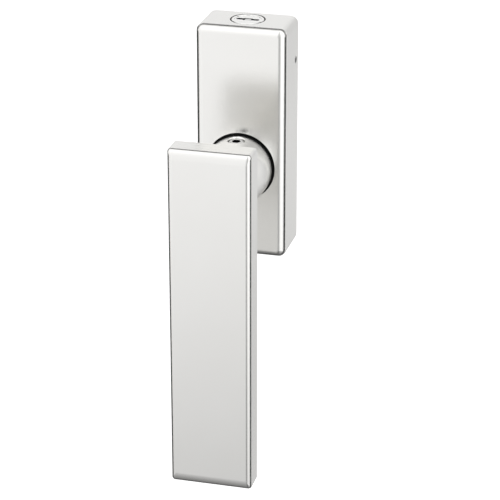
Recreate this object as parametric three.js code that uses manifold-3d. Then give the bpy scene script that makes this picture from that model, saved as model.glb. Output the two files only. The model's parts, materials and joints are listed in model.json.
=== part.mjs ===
// A lockable tilt-and-turn window handle, in millimetres, +Z up.
// The origin is where the neck's axis meets the window frame. The frame's face is the plane Y = 0 and
// the handle stands out of it towards -Y, so sizes called "out" are distances in front of the frame:
// y = -out. Negative "out" reaches into the window frame.

import * as THREE from 'three';
import { mergeVertices } from 'three/addons/utils/BufferGeometryUtils.js';
import Module from 'manifold-3d';

const wasm = await Module();
wasm.setup();

// ---------------------------------------------------------------- driving dimensions

const GAP = 0.3; // between neighbours that would otherwise touch
const RUNNING = 0.15; // radial clearance of a turned fit
const LIGHT = 0.1; // clearance of a piece that rests against another
const TOUCH = 0.05; // clearance of a piece that presses on another
const PAST = 1; // how far a cutter runs beyond the faces that it opens
const SUNK = 0.5; // how far a joined shape reaches into its neighbour
const FINE = 40; // facets round a large circle
const SMALL = 24; // facets round a small circle
const TINY = 12; // facets round a pin
const QUARTER = Math.PI / 2;

const housingSize = {
  width: 34,
  top: 53.4,
  bottom: -35.4,
  out: 19.6,
  wall: 2.2,
  front: 2.5,
  fillet: 3,
  corner: 2.8,
};
const cavity = {
  corner: 0.8,
  half: housingSize.width / 2 - housingSize.wall,
  top: housingSize.top - housingSize.wall,
  bottom: housingSize.bottom + housingSize.wall,
  out: housingSize.out - housingSize.front,
};
const neckHole = 13.15;

const gripSize = {
  width: 30.7,
  top: 20.9,
  bottom: -111,
  thickness: 9.5,
  out: 63,
  fillet: 2.06,
  corner: 1.3,
};
const gripBack = gripSize.out - gripSize.thickness;

const neckSize = {
  radius: 12.4,
  tip: 10.6,
  journal: 8,
  edge: 0.35,
  rear: 12.2,
  shoulder: 20.9,
  straightTo: 27,
  front: gripBack - LIGHT,
  leadOut: 8, // length over which the taper leaves the straight part
  leadIn: 14, // length over which it settles to the tip's radius
};

const square = 7; // the spindle, across flats
const spindleSize = { rear: -32, front: 33.5, leadRadius: 3.7, lead: 2.8 };
const screwSpacing = 43; // the two frame screws, centre to centre
const plate = { thickness: 5, half: cavity.half - GAP, bottom: cavity.bottom + GAP, top: 27.6 };

const cam = { flat: 7.5, corner: 9, rear: 6.6, front: 11.8, hub: 6.8, notchHalf: 2.3, notchDepth: 1.5 };
const crossPin = { radius: 1, half: 5.8, out: (cam.rear + cam.front) / 2 };
const boltTravel = 3;

const lock = { out: 8.45, boss: 6.25, body: 8, bore: 5, plug: 4.85, bottom: 35.3, floor: 1.7 };
const pinPitch = 3.2;
const pinCount = 4;

// ---------------------------------------------------------------- geometry helpers

/** Turns a closed three.js geometry into a solid that can be joined and cut. */
function solid(geometry) {
  const bare = geometry.clone();
  bare.deleteAttribute('normal');
  bare.deleteAttribute('uv');
  const merged = mergeVertices(bare, 1e-5);
  return new wasm.Manifold(new wasm.Mesh({
    numProp: 3,
    vertProperties: new Float32Array(merged.attributes.position.array),
    triVerts: new Uint32Array(merged.index.array),
  }));
}

/** Turns a solid back into a three.js geometry. */
function geometryOf(body) {
  const mesh = body.getMesh();
  const geometry = new THREE.BufferGeometry();
  geometry.setAttribute('position', new THREE.BufferAttribute(mesh.vertProperties, 3));
  geometry.setIndex(new THREE.BufferAttribute(mesh.triVerts, 1));
  return geometry;
}

/** The first solid with all the others joined to it. */
function join(first, ...others) {
  return others.reduce((whole, part) => whole.add(part), first);
}

/** The first solid with all the others taken away. */
function cut(first, ...others) {
  return others.reduce((rest, part) => rest.subtract(part), first);
}

/** A block between two values along X, two distances out and two heights. */
function block([x0, x1], [out0, out1], [z0, z1]) {
  const geometry = new THREE.BoxGeometry(x1 - x0, out1 - out0, z1 - z0);
  geometry.translate((x0 + x1) / 2, -(out0 + out1) / 2, (z0 + z1) / 2);
  return solid(geometry);
}

/** A closed outline through the given points. */
function outline(points) {
  return new THREE.Shape(points.map(([u, v]) => new THREE.Vector2(u, v)));
}

/** A rectangle from its sides, with each corner rounded. */
function roundedRectangle(left, right, low, high, radius) {
  const shape = new THREE.Shape();
  shape.absarc(right - radius, high - radius, radius, 0, QUARTER);
  shape.absarc(left + radius, high - radius, radius, QUARTER, 2 * QUARTER);
  shape.absarc(left + radius, low + radius, radius, 2 * QUARTER, 3 * QUARTER);
  shape.absarc(right - radius, low + radius, radius, 3 * QUARTER, 4 * QUARTER);
  return shape;
}

/** A regular hexagon, across its flats, with two flats level. */
function hexagon(acrossFlats) {
  const corners = Array.from({ length: 6 }, (_, k) => {
    const angle = k * Math.PI / 3;
    const reach = acrossFlats / Math.sqrt(3);
    return [reach * Math.cos(angle), reach * Math.sin(angle)];
  });
  return outline(corners);
}

function extrude(shape, length, steps = 6) {
  return new THREE.ExtrudeGeometry(shape, { depth: length, bevelEnabled: false, curveSegments: steps });
}

/** A prism standing out of the frame; its outline is drawn in X and Z. */
function prismOut(shape, [out0, out1], steps) {
  const geometry = extrude(shape, out1 - out0, steps);
  geometry.rotateX(QUARTER);
  geometry.translate(0, -out0, 0);
  return solid(geometry);
}

/** An upright prism; its outline is drawn in X and in distance out. */
function prismUp(shape, [z0, z1], steps) {
  const geometry = extrude(shape, z1 - z0, steps);
  geometry.rotateX(Math.PI);
  geometry.translate(0, 0, z1);
  return solid(geometry);
}

/** A prism along X; its outline is drawn in distance out and Z. */
function prismAcross(shape, [x0, x1], steps) {
  const geometry = extrude(shape, x1 - x0, steps);
  const turn = new THREE.Matrix4().makeBasis(
    new THREE.Vector3(0, -1, 0),
    new THREE.Vector3(0, 0, 1),
    new THREE.Vector3(-1, 0, 0),
  );
  geometry.applyMatrix4(turn);
  geometry.translate(x1, 0, 0);
  return solid(geometry);
}

/** A solid of revolution about the neck's axis, from [radius, out] pairs with out rising. */
function turnedOut(profile, facets = FINE, x = 0, z = 0) {
  const points = profile.map(([radius, out]) => new THREE.Vector2(radius, out));
  const geometry = new THREE.LatheGeometry(points, facets);
  geometry.rotateX(Math.PI);
  geometry.translate(x, 0, z);
  return solid(geometry);
}

/** A solid of revolution about the lock's upright axis, from [radius, z] pairs with z rising. */
function turnedUp(profile, facets = SMALL) {
  const points = profile.map(([radius, z]) => new THREE.Vector2(radius, z));
  const geometry = new THREE.LatheGeometry(points, facets);
  geometry.rotateX(QUARTER);
  geometry.translate(0, -lock.out, 0);
  return solid(geometry);
}

/** A round rod standing out of the frame. */
function rodOut(radius, [out0, out1], facets = SMALL, x = 0, z = 0) {
  return turnedOut([[0, out0], [radius, out0], [radius, out1], [0, out1]], facets, x, z);
}

/** A round rod on the lock's upright axis. */
function rodUp(radius, [z0, z1], facets = SMALL) {
  return turnedUp([[0, z0], [radius, z0], [radius, z1], [0, z1]], facets);
}

/** A round rod along X. */
function rodAcross(radius, [x0, x1], out, z, facets = TINY) {
  const geometry = new THREE.CylinderGeometry(radius, radius, x1 - x0, facets);
  geometry.rotateZ(QUARTER);
  geometry.translate((x0 + x1) / 2, -out, z);
  return solid(geometry);
}

/** A closed ring of rectangular section about the neck's axis. */
function ringOut(inner, outer, [out0, out1], facets = FINE) {
  return cut(rodOut(outer, [out0, out1], facets), rodOut(inner, [out0 - PAST, out1 + PAST], facets));
}

/**
 * A block with a rounded outline seen from the front and with rounded edges round its front face:
 * what three crossing prisms have in common.
 */
function filletedBlock({ left, right, bottom, top, back, front, corner, fillet }) {
  const seenFromFront = roundedRectangle(left, right, bottom, top, corner);
  const frontArc = (near, far) => {
    const shape = new THREE.Shape();
    shape.moveTo(near, back);
    shape.lineTo(far, back);
    shape.absarc(far - fillet, front - fillet, fillet, 0, QUARTER);
    shape.absarc(near + fillet, front - fillet, fillet, QUARTER, 2 * QUARTER);
    return shape;
  };
  const seenFromAbove = frontArc(left, right);
  const across = frontArc(bottom, top);
  const seenFromSide = new THREE.Shape(across.getPoints(6).map((p) => new THREE.Vector2(p.y, p.x)).reverse());
  return prismOut(seenFromFront, [back, front])
    .intersect(prismUp(seenFromAbove, [bottom, top]))
    .intersect(prismAcross(seenFromSide, [left, right]));
}

/** A helix of round wire with its ends cut off level. */
class Helix extends THREE.Curve {
  constructor(radius, height, turns) {
    super();
    Object.assign(this, { radius, height, turns });
  }

  getPoint(t, target = new THREE.Vector3()) {
    const angle = 2 * Math.PI * this.turns * t;
    return target.set(this.radius * Math.cos(angle), this.radius * Math.sin(angle), this.height * t);
  }
}

/** A coil spring that stands on z = 0 before it is placed. */
function coil(radius, wire, length, turns, stepsPerTurn = 10) {
  const sides = 6;
  const section = outline(Array.from({ length: sides }, (_, k) => {
    const angle = 2 * Math.PI * k / sides;
    return [wire / 2 * Math.cos(angle), wire / 2 * Math.sin(angle)];
  }));
  const geometry = new THREE.ExtrudeGeometry(section, {
    extrudePath: new Helix(radius, length - 2 * wire, turns),
    steps: turns * stepsPerTurn,
  });
  geometry.translate(0, 0, wire);
  return geometry;
}

// ---------------------------------------------------------------- materials and nodes

const finishes = {
  satinAluminium: { color: 0xdcdbd6, roughness: 0.36, metalness: 0.9 },
  zincCasting: { color: 0x9c9d9e, roughness: 0.55, metalness: 0.8 },
  steel: { color: 0xb4b5b8, roughness: 0.32, metalness: 1 },
  darkSteel: { color: 0x5f6164, roughness: 0.4, metalness: 0.9 },
  springSteel: { color: 0x8b8f94, roughness: 0.28, metalness: 1 },
  brass: { color: 0xc9a857, roughness: 0.3, metalness: 1 },
  nickel: { color: 0xd0cec6, roughness: 0.25, metalness: 1 },
  blackPlastic: { color: 0x141414, roughness: 0.6, metalness: 0 },
};

const handle = new THREE.Group();

/** Adds one named piece to the model; a solid is turned back into a geometry first. */
function addPiece(name, shape, finish) {
  const geometry = shape instanceof THREE.BufferGeometry ? shape : geometryOf(shape);
  const mesh = new THREE.Mesh(geometry, new THREE.MeshStandardMaterial(finishes[finish]));
  mesh.name = name;
  handle.add(mesh);
  return mesh;
}

// ---------------------------------------------------------------- housing

const sideScrew = { z: 37.8, out: 3.9, radius: 1.2, hole: 1.4, hex: 1.5, depth: 1.1, sunk: 0.4 };
const hook = { half: 6, out: 1.6, height: 1.5 };

function housing() {
  const half = housingSize.width / 2;
  const shell = filletedBlock({
    left: -half,
    right: half,
    bottom: housingSize.bottom,
    top: housingSize.top,
    back: 0,
    front: housingSize.out,
    corner: housingSize.corner,
    fillet: housingSize.fillet,
  });
  const hollow = roundedRectangle(-cavity.half, cavity.half, cavity.bottom, cavity.top, cavity.corner);
  const hookRange = [cavity.bottom - PAST, cavity.bottom + hook.height];
  const hookLip = block([-hook.half, hook.half], [0, hook.out], hookRange);
  const opened = cut(
    shell,
    prismOut(hollow, [-PAST, cavity.out], 3),
    rodOut(neckHole, [cavity.out - PAST, housingSize.out + PAST], FINE),
    rodUp(lock.boss + RUNNING, [cavity.top - PAST, housingSize.top + PAST], FINE),
    rodAcross(sideScrew.hole, [cavity.half - PAST, half + PAST], sideScrew.out, sideScrew.z),
  );
  return join(opened, hookLip);
}

/** The small set screw in the housing's side, which bears on the edge of the base plate. */
function housingGrubScrew() {
  const foot = plate.half + TOUCH;
  const face = housingSize.width / 2 - sideScrew.sunk;
  const body = rodAcross(sideScrew.radius, [foot, face], sideScrew.out, sideScrew.z);
  const socket = prismAcross(hexagon(sideScrew.hex), [face - sideScrew.depth, face + PAST]);
  return cut(body, socket.translate([0, -sideScrew.out, sideScrew.z]));
}

/** The black ring: a collar in the housing's hole, a flange behind it and a sleeve for the journal. */
function neckBush() {
  const collar = neckHole - GAP;
  const flange = { radius: 14.4, from: cavity.out - 1.5, to: cavity.out - GAP };
  const lip = { radius: neckSize.radius - GAP, to: neckSize.shoulder - 2 * LIGHT };
  const sleeve = { radius: 9.7, from: flange.from - 2 };
  const body = turnedOut([
    [0, sleeve.from],
    [sleeve.radius, sleeve.from],
    [sleeve.radius, flange.from],
    [flange.radius, flange.from],
    [flange.radius, flange.to],
    [collar, flange.to],
    [collar, housingSize.out - GAP],
    [lip.radius, housingSize.out - GAP],
    [lip.radius, lip.to],
    [0, lip.to],
  ]);
  return cut(body, rodOut(neckSize.journal + RUNNING, [sleeve.from - PAST, lip.to + PAST], FINE));
}

// ---------------------------------------------------------------- base plate

const armInner = 5.6;
const upperArm = { inner: 9, top: 42 };
const springPost = { inner: 5.9, outer: 11.2, low: 11, high: 15, out: 11.6 };
const leaf = { thickness: 0.6, from: 6.9, to: 11.4, half: 13.7 };
const rail = { inner: 5.7, outer: 7.2, grip: 4.9, lip: 1.1, low: 15.3, high: 23.2 };
const bolt = {
  rear: 7.4,
  front: 9.5,
  half: 5.4,
  tipHalf: 2,
  tip: 9.3,
  shoulder: 15.6,
  top: 28.2,
  ear: 11,
  earHeight: 1.6,
};
const frameScrew = {
  shank: 2.4,
  head: 4.6,
  length: 35,
  bore: 2.75,
  sink: 5,
  point: 0.8,
  recess: 1.8,
  crossLong: 2.3,
  crossShort: 0.55,
};
const lug = { radius: 6, depth: 2 };
const recess = { radius: 9.3, depth: 2.6 };

/** The plate seen from the front: a slab with an arm up each side of the lock. */
function plateOutline() {
  const armTop = lock.bottom - GAP;
  return outline([
    [-plate.half, plate.bottom],
    [plate.half, plate.bottom],
    [plate.half, upperArm.top],
    [upperArm.inner, upperArm.top],
    [upperArm.inner, armTop],
    [armInner, armTop],
    [armInner, plate.top],
    [-armInner, plate.top],
    [-armInner, armTop],
    [-upperArm.inner, armTop],
    [-upperArm.inner, upperArm.top],
    [-plate.half, upperArm.top],
  ]);
}

/** A post that holds one end of a leaf spring in a slot. */
function springHolder(side, end) {
  const across = (a, b) => (side > 0 ? [a, b] : [-b, -a]);
  const along = (a, b) => (end > 0 ? [a, b] : [-b, -a]);
  const slot = { inner: cam.flat, outer: cam.flat + leaf.thickness + 2 * GAP };
  const post = block(
    across(springPost.inner, springPost.outer),
    [plate.thickness - SUNK, springPost.out],
    along(springPost.low, springPost.high),
  );
  const opening = block(
    across(slot.inner, slot.outer),
    [leaf.from - GAP, springPost.out + PAST],
    along(springPost.low - PAST, leaf.half + GAP),
  );
  return cut(post, opening);
}

/** A rail of C section that guides one edge of the lock bolt. */
function boltRail(side) {
  const foot = plate.thickness - SUNK;
  const underLip = bolt.front + GAP;
  const shape = outline([
    [rail.outer, foot],
    [rail.outer, underLip + rail.lip],
    [rail.grip, underLip + rail.lip],
    [rail.grip, underLip],
    [rail.inner, underLip],
    [rail.inner, bolt.rear - GAP],
    [rail.grip, bolt.rear - GAP],
    [rail.grip, foot],
  ].map(([x, out]) => [side * x, out]));
  return prismUp(shape, [rail.low, rail.high]);
}

/** The cast plate that is screwed to the window frame and carries everything inside the housing. */
function basePlate() {
  const places = [screwSpacing / 2, -screwSpacing / 2];
  const lugs = places.map((z) => rodOut(lug.radius, [-lug.depth, SUNK], SMALL, 0, z));
  const screwHoles = places.map((z) => turnedOut([
    [0, -lug.depth - PAST],
    [frameScrew.bore, -lug.depth - PAST],
    [frameScrew.bore, plate.thickness - (frameScrew.sink - frameScrew.bore)],
    [frameScrew.sink, plate.thickness],
    [frameScrew.sink, bolt.rear],
    [0, bolt.rear],
  ], SMALL, 0, z));
  const holders = [-1, 1].flatMap((side) => [-1, 1].map((end) => springHolder(side, end)));
  const rails = [-1, 1].map(boltRail);
  const rebate = block(
    [-hook.half - GAP, hook.half + GAP],
    [-PAST, hook.out + GAP],
    [plate.bottom - PAST, cavity.bottom + hook.height + GAP],
  );
  return cut(
    join(prismOut(plateOutline(), [0, plate.thickness]), ...lugs, ...holders, ...rails),
    rebate,
    ...screwHoles,
    rodOut(cam.hub + RUNNING, [-PAST, plate.thickness + PAST], FINE),
    rodOut(recess.radius, [-PAST, recess.depth], FINE),
  );
}

/** A countersunk screw with a cross recess; it points into the window frame. */
function frameScrewAt(z) {
  const { shank, head, point, crossLong, crossShort } = frameScrew;
  const face = plate.thickness - 2 * LIGHT;
  const tip = face - frameScrew.length;
  const body = turnedOut([
    [0, tip],
    [shank - point, tip],
    [shank, tip + point],
    [shank, face - (head - shank)],
    [head, face],
    [0, face],
  ], SMALL, 0, z);
  const depth = [face - frameScrew.recess, face + PAST];
  return cut(
    body,
    block([-crossLong, crossLong], depth, [z - crossShort, z + crossShort]),
    block([-crossShort, crossShort], depth, [z - crossLong, z + crossLong]),
  );
}

/** A leaf spring along one flat of the index cam. */
function detentSpring(side) {
  const near = cam.flat + GAP;
  const far = near + leaf.thickness;
  const across = side > 0 ? [near, far] : [-far, -near];
  return block(across, [leaf.from, leaf.to], [-leaf.half, leaf.half]);
}

// ---------------------------------------------------------------- handle

const joint = { bore: 4.5, boreEnd: 44, threadEnd: gripSize.out - 2.5 };
const capScrew = { head: 4.25, headLength: 5, shank: 2.5, length: 14, hex: 4, socket: 2.6 };
const dowel = { radius: 1.5, x: 7, reach: 3.7, hole: 4 };
const neckScrew = { out: 25.2, radius: 2.85, hole: 3.15, hex: 3, socket: 3, sunk: 0.9 };

/** The square hole that the spindle slides into. */
function squareBore(range) {
  const half = square / 2 + RUNNING;
  return block([-half, half], range, [-half, half]);
}

/** The holes for the two dowels, seen from the joint between the grip and the neck. */
function dowelHoles(range) {
  return [-dowel.x, dowel.x].map((x) => rodOut(dowel.radius + RUNNING, range, TINY, x));
}

function grip() {
  const half = gripSize.width / 2;
  const bar = filletedBlock({
    left: -half,
    right: half,
    bottom: gripSize.bottom,
    top: gripSize.top,
    back: gripBack,
    front: gripSize.out,
    corner: gripSize.corner,
    fillet: gripSize.fillet,
  });
  return cut(
    bar,
    rodOut(capScrew.shank + GAP, [gripBack - PAST, joint.threadEnd], SMALL),
    ...dowelHoles([gripBack - PAST, gripBack + dowel.hole]),
  );
}

/** The outside of the neck: a journal, a shoulder with a broken edge, a straight part and a taper. */
function neckProfile() {
  const { front } = neckSize;
  const taper = new THREE.CubicBezierCurve(
    new THREE.Vector2(neckSize.radius, neckSize.straightTo),
    new THREE.Vector2(neckSize.radius, neckSize.straightTo + neckSize.leadOut),
    new THREE.Vector2(neckSize.tip, front - neckSize.leadIn),
    new THREE.Vector2(neckSize.tip, front),
  );
  return [
    [0, neckSize.rear],
    [neckSize.journal, neckSize.rear],
    [neckSize.journal, neckSize.shoulder],
    [neckSize.radius - neckSize.edge, neckSize.shoulder],
    [neckSize.radius, neckSize.shoulder + neckSize.edge],
    ...taper.getPoints(8).map((point) => [point.x, point.y]),
    [0, front],
  ];
}

/** An upright rod on the neck's set screw, from one height to another. */
function neckScrewRod(radius, [z0, z1]) {
  const geometry = new THREE.CylinderGeometry(radius, radius, z1 - z0, SMALL);
  geometry.rotateX(QUARTER);
  geometry.translate(0, -neckScrew.out, (z0 + z1) / 2);
  return solid(geometry);
}

function neck() {
  return cut(
    turnedOut(neckProfile()),
    squareBore([neckSize.rear - PAST, spindleSize.front + GAP]),
    rodOut(joint.bore, [neckSize.rear - PAST, joint.boreEnd], SMALL),
    rodOut(capScrew.shank + GAP, [joint.boreEnd - PAST, gripBack + PAST], SMALL),
    ...dowelHoles([gripBack - dowel.hole, gripBack + PAST]),
    neckScrewRod(neckScrew.hole, [0, neckSize.radius + PAST]),
  );
}

function neckGrubScrew() {
  const foot = square / 2 + TOUCH;
  const top = neckSize.radius - neckScrew.sunk;
  const body = neckScrewRod(neckScrew.radius, [foot, top]);
  const socket = extrude(hexagon(neckScrew.hex), neckScrew.socket + PAST);
  socket.translate(0, -neckScrew.out, top - neckScrew.socket);
  return cut(body, solid(socket));
}

/** The hidden cap screw that pulls the grip onto the neck. */
function gripScrew() {
  const seat = joint.boreEnd - LIGHT;
  const face = seat - capScrew.headLength;
  const body = turnedOut([
    [0, face],
    [capScrew.head, face],
    [capScrew.head, seat],
    [capScrew.shank, seat],
    [capScrew.shank, seat + capScrew.length],
    [0, seat + capScrew.length],
  ], SMALL);
  return cut(body, prismOut(hexagon(capScrew.hex), [face - PAST, face + capScrew.socket]));
}

function gripDowel(side) {
  return rodOut(dowel.radius, [gripBack - dowel.reach, gripBack + dowel.reach], TINY, side * dowel.x);
}

const hub = { rear: 0.4, grooveFrom: 0.95, grooveTo: 1.85, groove: cam.hub - 0.8 };

/** The hole for the pin that ties the cam to the spindle. */
function crossPinHole() {
  return rodAcross(crossPin.radius + RUNNING, [-cam.flat, cam.flat], crossPin.out, 0);
}

/** The square cam: rounded corners, a notch in each flat and a round hub behind it. */
function indexCam() {
  const thickness = [cam.rear, cam.front];
  const flats = [-cam.flat, cam.flat];
  const body = block(flats, thickness, flats).intersect(rodOut(cam.corner, thickness, FINE));
  const floor = cam.flat - cam.notchDepth;
  const half = [-cam.notchHalf, cam.notchHalf];
  const deep = [cam.rear - PAST, cam.front + PAST];
  const notches = [
    block(half, deep, [floor, cam.corner]),
    block(half, deep, [-cam.corner, -floor]),
    block([floor, cam.corner], deep, half),
    block([-cam.corner, -floor], deep, half),
  ];
  const groovedHub = turnedOut([
    [0, hub.rear],
    [cam.hub, hub.rear],
    [cam.hub, hub.grooveFrom],
    [hub.groove, hub.grooveFrom],
    [hub.groove, hub.grooveTo],
    [cam.hub, hub.grooveTo],
    [cam.hub, cam.rear],
    [0, cam.rear],
  ]);
  const whole = join(cut(body, ...notches), groovedHub);
  return cut(whole, squareBore([hub.rear - PAST, cam.front + PAST]), crossPinHole());
}

/** The steel square that runs from the neck through the housing into the window's gearbox. */
function spindle() {
  const half = square / 2;
  const bar = block([-half, half], [spindleSize.rear, spindleSize.front], [-half, half]);
  const { leadRadius, lead, rear, front } = spindleSize;
  const leadIn = turnedOut([
    [0, rear],
    [leadRadius, rear],
    [leadRadius + lead, rear + lead],
    [leadRadius + lead, front],
    [0, front],
  ]);
  return cut(bar.intersect(leadIn), crossPinHole());
}

function spindlePin() {
  return rodAcross(crossPin.radius, [-crossPin.half, crossPin.half], crossPin.out, 0);
}

const ring = { from: hub.grooveFrom + TOUCH, to: hub.grooveTo - TOUCH, outer: 8.6, gapHalf: 2.4 };

function thrustWasher() {
  return ringOut(cam.hub + RUNNING, recess.radius - GAP, [ring.to + LIGHT, recess.depth - LIGHT]);
}

/** A retaining ring with a gap, sprung into the hub's groove. */
function retainingRing() {
  const whole = ringOut(hub.groove + RUNNING, ring.outer, [ring.from, ring.to]);
  const gap = block([-ring.gapHalf, ring.gapHalf], [ring.from - PAST, ring.to + PAST], [-recess.radius, 0]);
  return cut(whole, gap);
}

// ---------------------------------------------------------------- lock

const plugRange = [lock.bottom + lock.floor + GAP, housingSize.top - LIGHT];
const keyway = { half: 4.2, thickness: 1.9, bottom: 37.8 };
const tail = { half: 2, bottom: 32, tapping: 1.1, tappingDepth: 5 };
const retainer = { head: 2.4, headHeight: 1.1, shank: 0.95, length: 4.6 }; // the screw under the cam
const driveCam = {
  disc: 32.2,
  start: 31.6,
  top: lock.bottom - GAP,
  inner: 2.7,
  outer: 4.7,
  spare: 0.26,
};
const pinSize = { radius: 0.9, chamber: 1.05, keyFrom: 1.15, keyTo: 4.65, driverTo: 6.1, chamberTo: 7.4 };
const firstPin = 39.4;

function pinHeight(index) {
  return firstPin + index * pinPitch;
}

/** A bore or pin towards the front of the lock, from one distance off its axis to another. */
function pinRod(radius, [from, to], z) {
  return rodOut(radius, [lock.out + from, lock.out + to], TINY, 0, z);
}

function lockBarrel() {
  const boss = cavity.top - GAP;
  const body = turnedUp([
    [0, lock.bottom],
    [lock.body, lock.bottom],
    [lock.body, boss],
    [lock.boss, boss],
    [lock.boss, housingSize.top],
    [0, housingSize.top],
  ], FINE);
  const chambers = Array.from({ length: pinCount }, (_, k) => (
    pinRod(pinSize.chamber, [lock.bore - PAST, pinSize.chamberTo], pinHeight(k))
  ));
  return cut(
    body,
    rodUp(lock.bore, [lock.bottom + lock.floor, housingSize.top + PAST], FINE),
    rodUp(tail.half * Math.SQRT2 + GAP, [lock.bottom - PAST, plugRange[0]]),
    ...chambers,
  );
}

function lockPlug() {
  const slot = block(
    [-keyway.half, keyway.half],
    [lock.out - keyway.thickness / 2, lock.out + keyway.thickness / 2],
    [keyway.bottom, plugRange[1] + PAST],
  );
  const squareTail = block(
    [-tail.half, tail.half],
    [lock.out - tail.half, lock.out + tail.half],
    [tail.bottom, plugRange[0] + SUNK],
  );
  const chambers = Array.from({ length: pinCount }, (_, k) => (
    pinRod(pinSize.chamber, [0, lock.plug + PAST], pinHeight(k))
  ));
  const tapping = rodUp(tail.tapping, [tail.bottom - PAST, tail.bottom + tail.tappingDepth], TINY);
  return cut(join(rodUp(lock.plug, plugRange, FINE), squareTail), slot, tapping, ...chambers);
}

/**
 * A sector of a ring about the lock's axis whose underside or top follows a helix that drops by the
 * bolt's travel in each quarter turn, counted from the given middle angle.
 */
function helicalSector(middle, [from, to], flatZ, helixZ) {
  const shape = new THREE.Shape();
  shape.absarc(0, 0, driveCam.outer, middle + from, middle + to);
  shape.absarc(0, 0, driveCam.inner, middle + to, middle + from, true);
  const unitHeight = 1;
  const geometry = extrude(shape, unitHeight, 10);
  const position = geometry.attributes.position;
  const helixIsLow = helixZ < flatZ;
  for (let k = 0; k < position.count; k += 1) {
    const angle = Math.atan2(position.getY(k), position.getX(k));
    const past = THREE.MathUtils.euclideanModulo(angle - middle + Math.PI, 2 * Math.PI) - Math.PI;
    const isLow = position.getZ(k) < unitHeight / 2;
    const onHelix = isLow === helixIsLow;
    position.setZ(k, onHelix ? helixZ - boltTravel * past / QUARTER : flatZ);
  }
  geometry.translate(0, -lock.out, 0);
  return solid(geometry);
}

const followerSpan = 0.24; // half the angle that a bolt horn takes, in radians
const rampMargin = 0.03; // what a ramp covers beyond the horns at either end, in radians

/** The face cam below the plug: two helical ramps that push the bolt down as the key turns. */
function driveCamSolid() {
  const disc = rodUp(driveCam.outer + LIGHT, [driveCam.disc, driveCam.top], SMALL);
  const reach = followerSpan + rampMargin;
  const ramps = [0, Math.PI].map((middle) => (
    helicalSector(middle, [-reach, QUARTER + reach], driveCam.disc + SUNK, driveCam.start)
  ));
  const squareHoleHalf = tail.half + RUNNING;
  return cut(
    join(disc, ...ramps),
    block(
      [-squareHoleHalf, squareHoleHalf],
      [lock.out - squareHoleHalf, lock.out + squareHoleHalf],
      [driveCam.start - boltTravel - PAST, driveCam.top + PAST],
    ),
  );
}

function camScrew() {
  const seat = tail.bottom - LIGHT;
  return turnedUp([
    [0, seat - retainer.headHeight],
    [retainer.head, seat - retainer.headHeight],
    [retainer.head, seat],
    [retainer.shank, seat],
    [retainer.shank, seat + retainer.length],
    [0, seat + retainer.length],
  ], TINY);
}

/** The bolt: a plate with a blocking tip, a hole for the screwdriver, spring ears and two horns. */
function lockBolt() {
  const earLow = bolt.top - bolt.earHeight;
  const shape = outline([
    [-bolt.tipHalf, bolt.tip],
    [bolt.tipHalf, bolt.tip],
    [bolt.tipHalf, bolt.shoulder],
    [bolt.half, bolt.shoulder],
    [bolt.half, earLow],
    [bolt.ear, earLow],
    [bolt.ear, bolt.top],
    [-bolt.ear, bolt.top],
    [-bolt.ear, earLow],
    [-bolt.half, earLow],
    [-bolt.half, bolt.shoulder],
    [-bolt.tipHalf, bolt.shoulder],
  ]);
  const access = new THREE.Path();
  access.absarc(0, screwSpacing / 2, frameScrew.head + RUNNING, 0, 2 * Math.PI);
  shape.holes.push(access);
  const span = [-followerSpan, followerSpan];
  const horns = [0, Math.PI].map((middle) => (
    helicalSector(middle, span, bolt.top - bolt.earHeight / 2, driveCam.start - driveCam.spare)
  ));
  return join(prismOut(shape, [bolt.rear, bolt.front], 10), ...horns);
}

const boltSpring = { radius: 1.45, wire: 0.5, turns: 6, x: 9.4 };
const pinCoil = { radius: 0.6, wire: 0.22, turns: 2, steps: 8 };

function placedBoltSpring(side) {
  const foot = springPost.high + LIGHT;
  const length = bolt.top - bolt.earHeight - LIGHT - foot;
  const geometry = coil(boltSpring.radius, boltSpring.wire, length, boltSpring.turns);
  geometry.translate(side * boltSpring.x, -(bolt.rear + bolt.front) / 2, foot);
  return geometry;
}

function keyPin(index) {
  return pinRod(pinSize.radius, [pinSize.keyFrom, pinSize.keyTo], pinHeight(index));
}

function driverPin(index) {
  return pinRod(pinSize.radius, [lock.bore + LIGHT, pinSize.driverTo], pinHeight(index));
}

function pinSpring(index) {
  const from = pinSize.driverTo + TOUCH;
  const length = pinSize.chamberTo - TOUCH - from;
  const geometry = coil(pinCoil.radius, pinCoil.wire, length, pinCoil.turns, pinCoil.steps);
  geometry.rotateX(QUARTER);
  geometry.translate(0, -lock.out - from, pinHeight(index));
  return geometry;
}

// ---------------------------------------------------------------- assembly

addPiece('housing', housing(), 'satinAluminium');
addPiece('housing_grub_screw', housingGrubScrew(), 'steel');
addPiece('neck_bush', neckBush(), 'blackPlastic');
addPiece('base_plate', basePlate(), 'zincCasting');
addPiece('frame_screw_upper', frameScrewAt(screwSpacing / 2), 'steel');
addPiece('frame_screw_lower', frameScrewAt(-screwSpacing / 2), 'steel');
addPiece('detent_spring_left', detentSpring(-1), 'springSteel');
addPiece('detent_spring_right', detentSpring(1), 'springSteel');
addPiece('bolt_spring_left', placedBoltSpring(-1), 'springSteel');
addPiece('bolt_spring_right', placedBoltSpring(1), 'springSteel');

addPiece('grip', grip(), 'satinAluminium');
addPiece('neck', neck(), 'satinAluminium');
addPiece('neck_grub_screw', neckGrubScrew(), 'steel');
addPiece('grip_screw', gripScrew(), 'darkSteel');
addPiece('grip_dowel_left', gripDowel(-1), 'steel');
addPiece('grip_dowel_right', gripDowel(1), 'steel');
addPiece('index_cam', indexCam(), 'zincCasting');
addPiece('spindle', spindle(), 'steel');
addPiece('spindle_pin', spindlePin(), 'darkSteel');
addPiece('thrust_washer', thrustWasher(), 'steel');
addPiece('retaining_ring', retainingRing(), 'darkSteel');

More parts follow.
